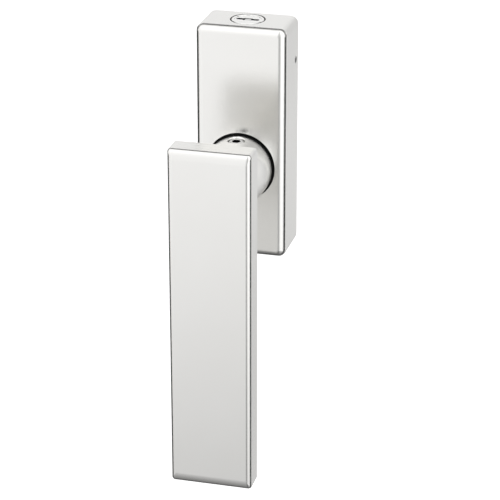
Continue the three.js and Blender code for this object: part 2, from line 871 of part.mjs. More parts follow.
addPiece('lock_barrel', lockBarrel(), 'nickel');
addPiece('lock_plug', lockPlug(), 'nickel');
addPiece('drive_cam', driveCamSolid(), 'zincCasting');
addPiece('cam_screw', camScrew(), 'steel');
addPiece('lock_bolt', lockBolt(), 'steel');
for (let k = 0; k < pinCount; k += 1) {
  addPiece(`key_pin_${k + 1}`, keyPin(k), 'brass');
  addPiece(`driver_pin_${k + 1}`, driverPin(k), 'brass');
  addPiece(`pin_spring_${k + 1}`, pinSpring(k), 'springSteel');
}

export default handle;
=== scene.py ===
"""The looks of a lockable tilt-and-turn window handle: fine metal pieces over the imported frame,
procedural metal and plastic, and a plain white studio. Lengths are in metres; y = 0 is the face of
the window frame, and what stands out of it lies at negative y, at y = -out."""

import json
import math

import bmesh
import bpy
from mathutils import Matrix, Vector


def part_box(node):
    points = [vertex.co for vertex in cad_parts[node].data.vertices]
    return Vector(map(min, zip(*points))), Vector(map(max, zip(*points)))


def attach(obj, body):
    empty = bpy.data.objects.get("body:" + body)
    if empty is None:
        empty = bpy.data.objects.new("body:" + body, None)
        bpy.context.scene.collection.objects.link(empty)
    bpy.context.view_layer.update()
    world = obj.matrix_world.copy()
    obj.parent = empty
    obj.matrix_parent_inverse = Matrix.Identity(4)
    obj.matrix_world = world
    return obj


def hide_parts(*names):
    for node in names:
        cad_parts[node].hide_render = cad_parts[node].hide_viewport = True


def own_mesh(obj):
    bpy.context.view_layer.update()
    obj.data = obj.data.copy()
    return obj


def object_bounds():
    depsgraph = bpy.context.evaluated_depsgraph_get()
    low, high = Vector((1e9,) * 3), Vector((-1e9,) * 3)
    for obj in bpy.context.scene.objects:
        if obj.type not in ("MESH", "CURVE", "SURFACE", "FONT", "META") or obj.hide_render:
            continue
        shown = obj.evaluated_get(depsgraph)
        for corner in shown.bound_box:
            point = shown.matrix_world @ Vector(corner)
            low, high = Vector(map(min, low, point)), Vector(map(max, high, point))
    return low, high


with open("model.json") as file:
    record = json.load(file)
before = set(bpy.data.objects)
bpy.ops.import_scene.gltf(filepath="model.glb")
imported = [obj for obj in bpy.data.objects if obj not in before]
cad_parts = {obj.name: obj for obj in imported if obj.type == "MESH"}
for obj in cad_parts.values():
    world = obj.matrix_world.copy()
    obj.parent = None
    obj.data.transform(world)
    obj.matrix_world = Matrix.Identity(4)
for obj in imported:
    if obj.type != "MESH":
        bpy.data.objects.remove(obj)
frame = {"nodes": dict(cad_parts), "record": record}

CAD_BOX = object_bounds()
MM = 0.001
QUARTER = math.pi / 2
FULL_TURN = 2 * math.pi


# ---------------------------------------------------------------- sizes

housing_low, housing_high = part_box("housing")
bush_low, bush_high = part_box("neck_bush")
neck_low, neck_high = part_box("neck")
grip_low, grip_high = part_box("grip")
barrel_low, barrel_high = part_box("lock_barrel")
plug_low, plug_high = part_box("lock_plug")
neck_screw_low, neck_screw_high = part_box("neck_grub_screw")
side_screw_low, side_screw_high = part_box("housing_grub_screw")
spindle_low, spindle_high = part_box("spindle")

HOUSING_FILLET = 3.0 * MM
HOUSING_CORNER = 2.8 * MM
HOUSING_WALL = 2.2 * MM
HOUSING_FRONT = 2.5 * MM

GRIP_FILLET = 2.06 * MM
GRIP_CORNER = 1.25 * MM
GRIP_END_STRETCH = 1.9
GRIP_SCREW_HOLE = 2.8 * MM

NECK_RADIUS = neck_high.x
NECK_HOLE = 13.0 * MM
NECK_BORE = 4.5 * MM
NECK_BORE_END = 44 * MM
NECK_SCREW_OUT = -(neck_screw_low.y + neck_screw_high.y) / 2
NECK_SCREW_CENTRE = (0, -NECK_SCREW_OUT, 0)

LOCK_OUT = -(barrel_low.y + barrel_high.y) / 2
LOCK_CENTRE = (0, -LOCK_OUT, 0)
LOCK_BOSS = 6.05 * MM
LOCK_HOLE = 6.45 * MM
LOCK_BORE = 5.0 * MM
PIN_CHAMBER = 1.05 * MM
PIN_NUMBERS = range(1, 5)

SIDE_SCREW_OUT = -(side_screw_low.y + side_screw_high.y) / 2
SIDE_SCREW_Z = (side_screw_low.z + side_screw_high.z) / 2
SIDE_SCREW_CENTRE = (0, -SIDE_SCREW_OUT, SIDE_SCREW_Z)
SIDE_SCREW_HOLE = 1.28 * MM

GAP = 0.3 * MM  # between two pieces that face each other
PLAY = 0.1 * MM  # round a piece in its bore
PAST = 1 * MM  # how far a cutter runs past the face that it opens
SAME_POINT = 0.0005 * MM
ALL_BUT_TOUCHING = 0.002 * MM
SHARP_DEGREES = 30


# ---------------------------------------------------------------- mesh helpers


def shade(mesh, sharp_degrees=SHARP_DEGREES):
    """Shades a mesh smooth except across edges sharper than the angle."""
    mesh.polygons.foreach_set("use_smooth", [True] * len(mesh.polygons))
    mesh.set_sharp_from_angle(angle=math.radians(sharp_degrees))


def finish_mesh(name, bm, sharp_degrees):
    """An object in the scene from a bmesh, with its faces pointing out."""
    bmesh.ops.remove_doubles(bm, verts=bm.verts, dist=SAME_POINT)
    bmesh.ops.recalc_face_normals(bm, faces=bm.faces)
    mesh = bpy.data.meshes.new(name)
    bm.to_mesh(mesh)
    bm.free()
    shade(mesh, sharp_degrees)
    piece = bpy.data.objects.new(name, mesh)
    bpy.context.scene.collection.objects.link(piece)
    return piece


def loft(name, rings, closed=False, sharp_degrees=SHARP_DEGREES):
    """A skin over rings that all have the same number of points, with flat caps unless it is closed."""
    bm = bmesh.new()
    rows = [[bm.verts.new(point) for point in ring] for ring in rings]
    count = len(rows[0])
    pairs = list(zip(rows, rows[1:]))
    if closed:
        pairs.append((rows[-1], rows[0]))
    for low, high in pairs:
        for k in range(count):
            j = (k + 1) % count
            bm.faces.new((low[k], low[j], high[j], high[k]))
    if not closed:
        bm.faces.new(list(reversed(rows[0])))
        bm.faces.new(rows[-1])
    return finish_mesh(name, bm, sharp_degrees)


def point_at(axis, u, v, along):
    """A point at a place along an axis: "out" of the frame, "up", or "across" along X."""
    places = {"out": (u, -along, v), "up": (u, v, along), "across": (along, u, v)}
    return Vector(places[axis])


def on_axis(axis, centre, radius, along, angle):
    """A point at a radius and an angle round a line along an axis."""
    return Vector(centre) + point_at(axis, radius * math.cos(angle), radius * math.sin(angle), along)


def turned(name, profile, axis="out", centre=(0, 0, 0), closed=False, segments=96):
    """A turned piece from (radius, along) pairs; a closed profile makes a ring."""
    angles = [FULL_TURN * k / segments for k in range(segments)]
    rings = [[on_axis(axis, centre, radius, along, angle) for angle in angles] for radius, along in profile]
    return loft(name, rings, closed)


def ring_at(axis, outline, along):
    """An outline across an axis, as a ring of points at a place along it."""
    return [point_at(axis, u, v, along) for u, v in outline]


def rod(name, radius, start, end, axis="out", centre=(0, 0, 0), segments=40):
    """A straight round cutter from one place along its axis to another."""
    return turned(name, [(radius, start), (radius, end)], axis, centre, segments=segments)


def pin(name, extent, axis, first_edge, last_edge, segments=40):
    """A turned pin with a cone or a broken edge at each end; its extent is as round_extent gives it."""
    centre, radius, start, end = extent
    profile = [
        (radius - first_edge, start),
        (radius, start + first_edge),
        (radius, end - last_edge),
        (radius - last_edge, end),
    ]
    return turned(name, profile, axis, centre, segments=segments)


def arc(centre_u, centre_v, radius, start, end, steps=8):
    """Points along an arc, from one angle to another in radians."""
    angles = [start + (end - start) * k / steps for k in range(steps + 1)]
    return [(centre_u + radius * math.cos(angle), centre_v + radius * math.sin(angle)) for angle in angles]


def rounded_rectangle(low_u, high_u, low_v, high_v, radius, steps=8):
    """The outline of a rectangle with round corners, anticlockwise."""
    corners = [
        (high_u - radius, high_v - radius),
        (low_u + radius, high_v - radius),
        (low_u + radius, low_v + radius),
        (high_u - radius, low_v + radius),
    ]
    outline = []
    for index, (u, v) in enumerate(corners):
        start = index * QUARTER
        outline += arc(u, v, radius, start, start + QUARTER, steps)
    return outline


def rounded_square(half, radius, steps, centre_v=0):
    """The outline of a square with round corners, centred in its first direction."""
    return rounded_rectangle(-half, half, centre_v - half, centre_v + half, radius, steps)


def hexagon(centre_u, centre_v, across_flats):
    """The outline of a regular hexagon with a corner in its first direction."""
    reach = across_flats / math.sqrt(3)
    angles = [FULL_TURN * k / 6 for k in range(6)]
    return [(centre_u + reach * math.cos(angle), centre_v + reach * math.sin(angle)) for angle in angles]


def bar_levels(front, back, fillet, back_edge, end_stretch):
    """From back to front: how far the bar draws in at its sides and at its ends, and at which y."""
    back_steps = 4
    front_steps = 16
    levels = [(back_edge, back_edge, back)]
    for step in range(1, back_steps + 1):
        angle = QUARTER * step / back_steps
        inset = back_edge * (1 - math.sin(angle))
        levels.append((inset, inset, back - back_edge * (1 - math.cos(angle))))
    for step in range(front_steps + 1):
        angle = QUARTER * step / front_steps
        inset = fillet * (1 - math.cos(angle))
        end_inset = inset * (1 + (end_stretch - 1) * inset / fillet)
        levels.append((inset, end_inset, front + fillet * (1 - math.sin(angle))))
    return levels


def bar_out(name, box, corner, fillet, back_edge, end_stretch=1):
    """A bar seen from the front as a rounded rectangle, with round front edges and broken back edges.
    The stretch makes the front edges at the top and bottom run out more gently into the front face."""
    low, high = box
    front_corner = 0.5 * MM
    rings = []
    for inset, end_inset, y in bar_levels(low.y, high.y, fillet, back_edge, end_stretch):
        radius = corner + (front_corner - corner) * min(inset / fillet, 1)
        sides = (low.x + inset, high.x - inset)
        ends = (low.z + end_inset, high.z - end_inset)
        rings.append(ring_at("out", rounded_rectangle(*sides, *ends, radius), -y))
    return loft(name, rings)


def prism(name, axis, outline, start, end):
    """A straight prism along an axis over an outline across it."""
    return loft(name, [ring_at(axis, outline, along) for along in (start, end)])


def clean(mesh):
    """Joins points that a cut left all but touching, and takes out edges that are shorter still."""
    shortest_edge = ALL_BUT_TOUCHING / 2
    bm = bmesh.new()
    bm.from_mesh(mesh)
    bmesh.ops.remove_doubles(bm, verts=bm.verts, dist=ALL_BUT_TOUCHING)
    bmesh.ops.dissolve_degenerate(bm, edges=bm.edges, dist=shortest_edge)
    bm.to_mesh(mesh)
    bm.free()


def carve(piece, cutters, operation="DIFFERENCE"):
    """Cuts other pieces out of a piece, or joins them on, and keeps the material that each one had."""
    for cutter in cutters:
        change = piece.modifiers.new("carve", "BOOLEAN")
        change.operation = operation
        change.solver = "EXACT"
        change.material_mode = "TRANSFER"
        change.object = cutter
    graph = bpy.context.evaluated_depsgraph_get()
    piece.data = bpy.data.meshes.new_from_object(piece.evaluated_get(graph))
    piece.modifiers.clear()
    for cutter in cutters:
        bpy.data.objects.remove(cutter)
    clean(piece.data)
    shade(piece.data)


def round_extent(node, axis):
    """The centre, the radius and the two ends along its axis of a straight round CAD piece."""
    low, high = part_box(node)
    middle = (low + high) / 2
    if axis == "out":
        return Vector((middle.x, 0, middle.z)), (high.x - low.x) / 2, -high.y, -low.y
    if axis == "up":
        return Vector((middle.x, middle.y, 0)), (high.x - low.x) / 2, low.z, high.z
    return Vector((0, middle.y, middle.z)), (high.y - low.y) / 2, low.x, high.x


def bore_for(node, axis, past):
    """A cutter with some play round a straight round CAD piece, which runs past its ends."""
    centre, radius, start, end = round_extent(node, axis)
    return rod("bore", radius + PLAY, start - past, end + past, axis, centre, segments=48)


def smooth_by_angle():
    """A modifier group that joins loose faces and shades smoothly except across sharp edges."""
    group = bpy.data.node_groups.new("smooth_by_angle", "GeometryNodeTree")
    group.interface.new_socket("Geometry", in_out="INPUT", socket_type="NodeSocketGeometry")
    group.interface.new_socket("Geometry", in_out="OUTPUT", socket_type="NodeSocketGeometry")
    nodes = group.nodes
    links = group.links
    start = nodes.new("NodeGroupInput")
    end = nodes.new("NodeGroupOutput")
    merged = nodes.new("GeometryNodeMergeByDistance")
    merged.inputs["Distance"].default_value = ALL_BUT_TOUCHING
    faces = nodes.new("GeometryNodeSetShadeSmooth")
    edges = nodes.new("GeometryNodeSetShadeSmooth")
    edges.domain = "EDGE"
    angle = nodes.new("GeometryNodeInputMeshEdgeAngle")
    gentle = nodes.new("FunctionNodeCompare")
    gentle.operation = "LESS_THAN"
    gentle.inputs["B"].default_value = math.radians(SHARP_DEGREES)
    links.new(angle.outputs["Unsigned Angle"], gentle.inputs["A"])
    links.new(gentle.outputs["Result"], edges.inputs["Shade Smooth"])
    links.new(start.outputs["Geometry"], merged.inputs["Geometry"])
    links.new(merged.outputs["Geometry"], faces.inputs["Geometry"])
    links.new(faces.outputs["Geometry"], edges.inputs["Geometry"])
    links.new(edges.outputs["Geometry"], end.inputs["Geometry"])
    return group


def flat_normals(piece):
    """Keeps the flat faces of a piece flat in the light, right up to their round edges."""
    normals = piece.modifiers.new("flat_faces", "WEIGHTED_NORMAL")
    normals.keep_sharp = True


def soften(piece, width, segments=2):
    """Breaks the edges of a piece sharper than 40 degrees and keeps its flat faces flat in the light."""
    bevel = piece.modifiers.new("broken_edges", "BEVEL")
    bevel.width = width
    bevel.segments = segments
    bevel.limit_method = "ANGLE"
    bevel.angle_limit = math.radians(40)
    bevel.use_clamp_overlap = True
    bevel.miter_outer = "MITER_ARC"
    flat_normals(piece)


def paint(piece, material):
    """Gives the piece its material on the first slot."""
    if piece.data.materials:
        piece.data.materials[0] = material
    else:
        piece.data.materials.append(material)
    return piece


def fit(piece, material, slot, body, *nodes):
    """Finishes a piece: its material, the body that it rides on and the CAD nodes that it stands for."""
    paint(piece, material)
    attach(piece, body)
    if nodes:
        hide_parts(*nodes)
    return piece


def fit_as(piece, node, body):
    """Finishes a piece that stands for one CAD node and takes that node's finish."""
    slot = SLOTS[node]
    return fit(piece, CAD_FINISHES[slot], slot, body, node)


# ---------------------------------------------------------------- materials


def start_material(name):
    """A node material with its shader and the object's own coordinates."""
    material = bpy.data.materials.new(name)
    material.use_nodes = True
    nodes = material.node_tree.nodes
    shader = nodes["Principled BSDF"]
    coordinates = nodes.new("ShaderNodeTexCoord").outputs["Object"]
    return material, shader, coordinates


def noise(material, coordinates, scale, detail=3.0, stretch=(1, 1, 1)):
    """A noise texture, its features about 1 / scale metres wide, stretched along an axis if wanted."""
    nodes = material.node_tree.nodes
    links = material.node_tree.links
    mapping = nodes.new("ShaderNodeMapping")
    mapping.inputs["Scale"].default_value = stretch
    texture = nodes.new("ShaderNodeTexNoise")
    texture.inputs["Scale"].default_value = scale
    texture.inputs["Detail"].default_value = detail
    links.new(coordinates, mapping.inputs["Vector"])
    links.new(mapping.outputs["Vector"], texture.inputs["Vector"])
    return texture.outputs["Fac"]


def between(material, factor, low, high):
    """Spreads the middle half of a noise factor over a range of numbers."""
    node = material.node_tree.nodes.new("ShaderNodeMapRange")
    node.inputs["From Min"].default_value = 0.25
    node.inputs["From Max"].default_value = 0.75
    node.inputs["To Min"].default_value = low
    node.inputs["To Max"].default_value = high
    material.node_tree.links.new(factor, node.inputs["Value"])
    return node.outputs["Result"]


def tint(material, factor, dark, light):
    """Mixes two colours by a noise factor."""
    node = material.node_tree.nodes.new("ShaderNodeValToRGB")
    stops = node.color_ramp.elements
    for stop, position, colour in zip(stops, (0.3, 0.7), (dark, light)):
        stop.position = position
        stop.color = (*colour, 1)
    material.node_tree.links.new(factor, node.inputs["Fac"])
    return node.outputs["Color"]


def grey(value):
    """A grey as a colour."""
    return (value, value, value)


def bump(material, shader, height, strength):
    """Raises the surface by a noise factor, by 0.02 mm at full strength."""
    node = material.node_tree.nodes.new("ShaderNodeBump")
    node.inputs["Strength"].default_value = strength
    node.inputs["Distance"].default_value = 0.02 * MM
    material.node_tree.links.new(height, node.inputs["Height"])
    material.node_tree.links.new(node.outputs["Normal"], shader.inputs["Normal"])


def metal(name, dark, light, roughness, grain, relief=0.05, stretch=(1, 1, 1)):
    """A metal whose colour drifts slightly and whose fine grain varies its gloss and its surface."""
    material, shader, coordinates = start_material(name)
    links = material.node_tree.links
    shader.inputs["Metallic"].default_value = 1.0
    drift = noise(material, coordinates, scale=45, detail=2)
    links.new(tint(material, drift, dark, light), shader.inputs["Base Color"])
    fine = noise(material, coordinates, scale=grain, detail=4, stretch=stretch)
    links.new(between(material, fine, *roughness), shader.inputs["Roughness"])
    bump(material, shader, fine, relief)
    return material


def moulded_plastic():
    """Black moulded plastic with a fine spark-eroded texture."""
    material, shader, coordinates = start_material("black_plastic")
    links = material.node_tree.links
    texture = noise(material, coordinates, scale=3000, detail=3)
    links.new(tint(material, texture, grey(0.003), grey(0.007)), shader.inputs["Base Color"])
    links.new(between(material, texture, low=0.5, high=0.7), shader.inputs["Roughness"])
    shader.inputs["Specular IOR Level"].default_value = 0.2
    bump(material, shader, texture, strength=0.2)
    return material


ALUMINIUM = metal(
    "satin_aluminium",
    dark=(0.9, 0.893, 0.873),
    light=(0.912, 0.906, 0.888),
    roughness=(0.235, 0.265),
    grain=3500,
    relief=0.012,
)
ZINC = metal(
    "zinc_casting",
    dark=(0.42, 0.425, 0.43),
    light=(0.56, 0.565, 0.57),
    roughness=(0.42, 0.6),
    grain=1100,
    relief=0.35,
)
STEEL = metal(
    "bright_steel",
    dark=grey(0.6),
    light=(0.7, 0.7, 0.69),
    roughness=(0.2, 0.34),
    grain=1500,
    relief=0.08,
    stretch=(1, 0.12, 1),
)
# Dark steel for the CAD parts that are finished so; it also serves as painted shade in the frame screws'
# cross recesses.
DARK_STEEL_AND_RECESS_SHADE = metal(
    "dark_steel",
    dark=(0.06, 0.06, 0.062),
    light=grey(0.1),
    roughness=(0.3, 0.42),
    grain=1500,
    relief=0.08,
)
SPRING = metal(
    "spring_steel",
    dark=(0.42, 0.43, 0.45),
    light=(0.5, 0.51, 0.53),
    roughness=(0.16, 0.26),
    grain=1800,
)
NICKEL = metal(
    "nickel",
    dark=(0.955, 0.95, 0.935),
    light=(0.975, 0.97, 0.955),
    roughness=(0.2, 0.26),
    grain=2200,
    relief=0.01,
)
BRASS = metal(
    "brass",
    dark=(0.72, 0.52, 0.2),
    light=(0.8, 0.6, 0.26),
    roughness=(0.18, 0.28),
    grain=1500,
)
# Painted shade: a near-black finish put on the walls of holes, the keyway, the tapped hole and the hexagon
# socket, for the shade inside them.
PAINTED_HOLE_SHADE = metal(
    "socket_shadow",
    dark=grey(0.008),
    light=grey(0.016),
    roughness=(0.5, 0.7),
    grain=1500,
)
PLASTIC = moulded_plastic()

CAD_FINISHES = {
    "zinc_casting": ZINC,
    "bright_steel": STEEL,
    "dark_steel": DARK_STEEL_AND_RECESS_SHADE,
    "spring_steel": SPRING,
    "nickel": NICKEL,
    "brass": BRASS,
    "black_plastic": PLASTIC,
    "satin_aluminium": ALUMINIUM,
}
SLOTS = {entry["node"]: entry["material_slot"] for entry in frame["record"]["subparts"]}


# ---------------------------------------------------------------- housing side


def housing():
    """The cover: a shell open at the back, with holes for the neck, the lock and the side screw."""
    box = (housing_low, housing_high)
    shell = bar_out("housing_shell", box, HOUSING_CORNER, HOUSING_FILLET, back_edge=0.25 * MM)
    paint(shell, ALUMINIUM)
    front = -housing_low.y
    inner_front = front - HOUSING_FRONT
    inner_top = housing_high.z - HOUSING_WALL
    inner_side = housing_high.x - HOUSING_WALL
    hollow = rounded_rectangle(
        housing_low.x + HOUSING_WALL,
        inner_side,
        housing_low.z + HOUSING_WALL,
        inner_top,
        radius=1.0 * MM,
    )
    neck_hole = rod("neck_hole", NECK_HOLE, inner_front - PAST, front + PAST, segments=128)
    lock_hole = rod(
        "lock_hole",
        LOCK_HOLE,
        inner_top - PAST,
        housing_high.z + PAST,
        axis="up",
        centre=LOCK_CENTRE,
        segments=112,
    )
    screw_hole = rod(
        "screw_hole",
        SIDE_SCREW_HOLE,
        inner_side - PAST,
        housing_high.x + PAST,
        axis="across",
        centre=SIDE_SCREW_CENTRE,
    )
    # The walls of the lock hole and the side screw hole take painted shade.
    cutters = [
        prism("hollow", "out", hollow, -PAST, inner_front),
        neck_hole,
        paint(lock_hole, PAINTED_HOLE_SHADE),
        paint(screw_hole, PAINTED_HOLE_SHADE),
    ]
    carve(shell, cutters)
    soften(shell, width=0.14 * MM)
    fit(shell, ALUMINIUM, "satin_aluminium", "frame_side", "housing")


def neck_ring():
    """The black collar between the housing and the neck, with the flange and sleeve behind it."""
    back = -bush_high.y
    lip = -bush_low.y
    face = -housing_low.y - GAP
    inner = 8.15 * MM
    sleeve = 9.7 * MM
    flange = bush_high.x
    flange_back = back + 2.0 * MM
    flange_front = face - HOUSING_FRONT
    collar = NECK_HOLE - GAP
    lip_radius = NECK_RADIUS - GAP
    lip_edge = 0.1 * MM
    profile = [
        (inner, back),
        (sleeve, back),
        (sleeve, flange_back),
        (flange, flange_back),
        (flange, flange_front),
        (collar, flange_front),
        (collar, face),
        (lip_radius, face),
        (lip_radius, lip - lip_edge),
        (lip_radius - lip_edge, lip),
        (inner, lip),
    ]
    ring = turned("neck_ring", profile, closed=True, segments=128)
    fit(ring, PLASTIC, "black_plastic", "frame_side", "neck_bush")


def side_screw():
    """The small set screw that clamps the cover, sunk in the housing's right side."""
    face = housing_high.x - 0.08 * MM
    radius = side_screw_high.z - SIDE_SCREW_Z
    extent = (SIDE_SCREW_CENTRE, radius, side_screw_low.x, face)
    screw = pin("side_set_screw", extent, "across", first_edge=0.2 * MM, last_edge=0.15 * MM)
    paint(screw, STEEL)
    outline = hexagon(-SIDE_SCREW_OUT, SIDE_SCREW_Z, across_flats=1.5 * MM)
    socket_depth = 0.8 * MM
    socket = prism("socket", "across", outline, face - socket_depth, face + PAST)
    carve(screw, [paint(socket, STEEL)])
    fit(screw, STEEL, "bright_steel", "frame_side", "housing_grub_screw")


def thread_ridge(centre, root, crest, pitch, low, high):
    """The ridge of a screw thread: a trapezoid swept along a helix that fades out at both ends."""
    steps_per_turn = 40
    turns = (high - low) / pitch
    count = round(turns * steps_per_turn)
    foot = 0.44 * pitch
    flat = 0.08 * pitch
    run_out = 0.5 * pitch
    sunk = root - 0.05 * MM
    rings = []
    for step in range(count + 1):
        along = low + (high - low) * step / count
        angle = FULL_TURN * turns * step / count
        fade = min(1.0, (along - low) / run_out, (high - along) / run_out)
        top = root + (crest - root) * fade
        section = ((sunk, -foot), (sunk, foot), (top, flat), (top, -flat))
        rings.append([on_axis("out", centre, radius, along + shift, angle) for radius, shift in section])
    return loft("thread", rings, sharp_degrees=35)


def cross_outline(centre_z, arm, half):
    """A plus sign in X and Z, from the reach and the half width of its arms."""
    quarter = [(arm, -half), (arm, half), (half, half)]
    outline = []
    for _ in range(4):
        outline += [(x, z + centre_z) for x, z in quarter]
        quarter = [(-z, x) for x, z in quarter]
    return outline


def frame_screw(node):
    """An M5 countersunk screw: a cross recess in its head and a cut thread on its shank."""
    centre, _, tip, face = round_extent(node, "out")
    crest = 2.4 * MM
    root = 2.02 * MM
    pitch = 0.8 * MM
    head = 4.6 * MM
    head_edge = 0.1 * MM
    tip_edge = 0.5 * MM
    plain_length = 2.5 * MM
    shank_slope = 0.4 * MM
    thread_start = tip + 0.6 * MM
    head_back = face - (head - crest)
    thread_end = head_back - plain_length
    profile = [
        (root - tip_edge, tip),
        (root, tip + tip_edge),
        (root, thread_end),
        (crest, thread_end + shank_slope),
        (crest, head_back),
        (head - head_edge, face - head_edge),
        (head - head_edge, face),
    ]
    screw = turned(node + "_threaded", profile, "out", centre, segments=64)
    paint(screw, STEEL)
    ridge = thread_ridge(centre, root, crest, pitch, thread_start, thread_end + shank_slope / 2)
    carve(screw, [paint(ridge, STEEL)], "UNION")
    cross = cross_outline(centre.z, arm=2.3 * MM, half=0.55 * MM)
    recess_depth = 1.8 * MM
    recess = prism("recess", "out", cross, face - recess_depth, face + PAST)
    # The cross recess takes dark steel as painted shade.
    carve(screw, [paint(recess, DARK_STEEL_AND_RECESS_SHADE)])
    fit(screw, STEEL, "bright_steel", "frame_side", node)


def coil_spring(node, axis, wire, turns):
    """A round-wire compression spring with closed ends, in the room of its CAD node."""
    centre, outer, start, end = round_extent(node, axis)
    coil = outer - wire
    steps_per_turn = 28
    wire_sides = 10
    closed_pitch = 2.05 * wire
    most_open_turns = turns - 2
    open_pitch = (end - start - 2 * wire - 2 * closed_pitch) / most_open_turns
    rings = []
    for step in range(turns * steps_per_turn + 1):
        turn = step / steps_per_turn
        open_turns = min(max(turn - 1, 0), most_open_turns)
        along = start + wire + (turn - open_turns) * closed_pitch + open_turns * open_pitch
        section = arc(coil, along, wire, 0, FULL_TURN, wire_sides)[:-1]
        rings.append([on_axis(axis, centre, radius, place, FULL_TURN * turn) for radius, place in section])
    return fit_as(loft(node + "_coil", rings, sharp_degrees=60), node, "frame_side")


def bolt_spring(node):
    """A spring under one of the bolt's ears, with a mesh of its own."""
    spring = coil_spring(node, "up", wire=0.25 * MM, turns=7)
    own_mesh(spring)


def turned_pin(node, axis, body, nose=0.15 * MM):
    """A turned pin with a cone at its first end and a broken edge at the other."""
    piece = pin(node + "_turned", round_extent(node, axis), axis, first_edge=nose, last_edge=0.12 * MM)
    fit_as(piece, node, body)


# ---------------------------------------------------------------- lock


def lock_turned(name, profile, closed=False):
    """A piece turned about the lock's upright axis."""
    return turned(name, profile, "up", LOCK_CENTRE, closed, segments=112)


def pin_chambers():
    """Cutters for the pin stacks, from the lock's axis to just past the pin springs."""
    cutters = []
    for index in PIN_NUMBERS:
        centre, _, _, far = round_extent(f"pin_spring_{index}", "out")
        hole = rod("chamber", PIN_CHAMBER, LOCK_OUT, far + PLAY, centre=centre)
        cutters.append(paint(hole, NICKEL))
    return cutters


def pin_stacks():
    """The pins at the shear line, as a key would hold them, and the springs behind them."""
    for index in PIN_NUMBERS:
        turned_pin(f"key_pin_{index}", "out", "lock_plug", nose=0.5 * MM)
        turned_pin(f"driver_pin_{index}", "out", "frame_side")
        coil_spring(f"pin_spring_{index}", "out", wire=0.11 * MM, turns=4)


def lock_cylinder():
    """The lock's body: its round face lies flush in the housing's top."""
    top = barrel_high.z
    low = barrel_low.z
    body = barrel_high.x
    tail_hole = 3.1 * MM
    floor = low + 1.7 * MM
    shoulder = housing_high.z - HOUSING_WALL - GAP
    edge = 0.12 * MM
    profile = [
        (LOCK_BORE, floor),
        (tail_hole, floor),
        (tail_hole, low),
        (body, low),
        (body, shoulder),
        (LOCK_BOSS, shoulder),
        (LOCK_BOSS, top - edge),
        (LOCK_BOSS - edge, top),
        (LOCK_BORE, top),
    ]
    barrel = lock_turned("lock_cylinder", profile, closed=True)
    paint(barrel, NICKEL)
    carve(barrel, pin_chambers())
    fit(barrel, NICKEL, "nickel", "frame_side", "lock_barrel")


def keyway_outline():
    """The keyway from above: a long slot for the blade with a wider waist."""
    half = 4.2 * MM
    blade = 0.85 * MM
    tip = 0.7 * blade
    tip_edge = 0.35 * MM
    waist = 1.35 * MM
    waist_slope = 0.3 * MM
    quarter = [
        (half, 0),
        (half, tip),
        (half - tip_edge, blade),
        (waist + waist_slope, blade),
        (waist, waist),
    ]
    upper = quarter + [(-x, y) for x, y in reversed(quarter)]
    lower = [(x, -y) for x, y in reversed(upper)][1:-1]
    return [(x, y - LOCK_OUT) for x, y in upper + lower]


def lock_core():
    """The turning core: its keyway above, its pin chambers, and the square tail for the drive cam."""
    top = plug_high.z
    low = plug_low.z
    radius = LOCK_BORE - 0.03 * MM
    floor = barrel_low.z + 2.0 * MM
    core = lock_turned("lock_core", [(radius, floor), (radius, top)])
    paint(core, NICKEL)
    square = rounded_square(half=2.0 * MM, radius=0.2 * MM, steps=3, centre_v=-LOCK_OUT)
    tail = prism("tail", "up", square, low, floor + PAST)
    carve(core, [paint(tail, NICKEL)], "UNION")
    keyway_depth = 14 * MM
    slot = prism("keyway", "up", keyway_outline(), top - keyway_depth, top + PAST)
    tapped_depth = 5 * MM
    tapped_radius = 1.1 * MM
    tapping = rod("tapping", tapped_radius, low - PAST, low + tapped_depth, "up", LOCK_CENTRE)
    # The keyway and the tapped hole take painted shade on their walls.
    carve(core, [paint(slot, PAINTED_HOLE_SHADE), paint(tapping, PAINTED_HOLE_SHADE), *pin_chambers()])
    soften(core, width=0.015 * MM, segments=1)
    fit(core, NICKEL, "nickel", "lock_plug", "lock_plug")


def key_shutter():
    """The bright sprung shutter that closes the keyway's waist just below the face."""
    top = plug_high.z - 0.12 * MM
    outline = rounded_square(half=1.22 * MM, radius=0.3 * MM, steps=4, centre_v=-LOCK_OUT)
    thickness = 3 * MM
    shutter = prism("key_shutter", "up", outline, top - thickness, top)
    soften(shutter, width=0.25 * MM, segments=4)
    fit(shutter, STEEL, "bright_steel", "lock_plug")


# ---------------------------------------------------------------- handle side


def dowel_holes():
    """Cutters for the two dowels that hold the grip square on the neck."""
    return [bore_for(f"grip_dowel_{side}", "out", past=GAP) for side in ("left", "right")]


def grip():
    """The flat grip bar, with the holes for its screw and dowels in its back."""
    bar = bar_out(
        "grip_bar",
        (grip_low, grip_high),
        GRIP_CORNER,
        GRIP_FILLET,
        back_edge=0.2 * MM,
        end_stretch=GRIP_END_STRETCH,
    )
    paint(bar, ALUMINIUM)
    back = -grip_high.y
    hole_end = round_extent("grip_screw", "out")[3] + 2.5 * MM
    screw_hole = rod("screw_hole", GRIP_SCREW_HOLE, back - PAST, hole_end, segments=48)
    carve(bar, [paint(cutter, ALUMINIUM) for cutter in (screw_hole, *dowel_holes())])
    flat_normals(bar)
    fit(bar, ALUMINIUM, "satin_aluminium", "handle", "grip")


def bezier(start, first, second, end, steps):
    """Points along a cubic curve of (radius, along) pairs."""
    points = []
    for k in range(steps + 1):
        t = k / steps
        weights = ((1 - t) ** 3, 3 * t * (1 - t) ** 2, 3 * t * t * (1 - t), t**3)
        corners = (start, first, second, end)
        points.append(tuple(sum(w * p[i] for w, p in zip(weights, corners)) for i in (0, 1)))
    return points


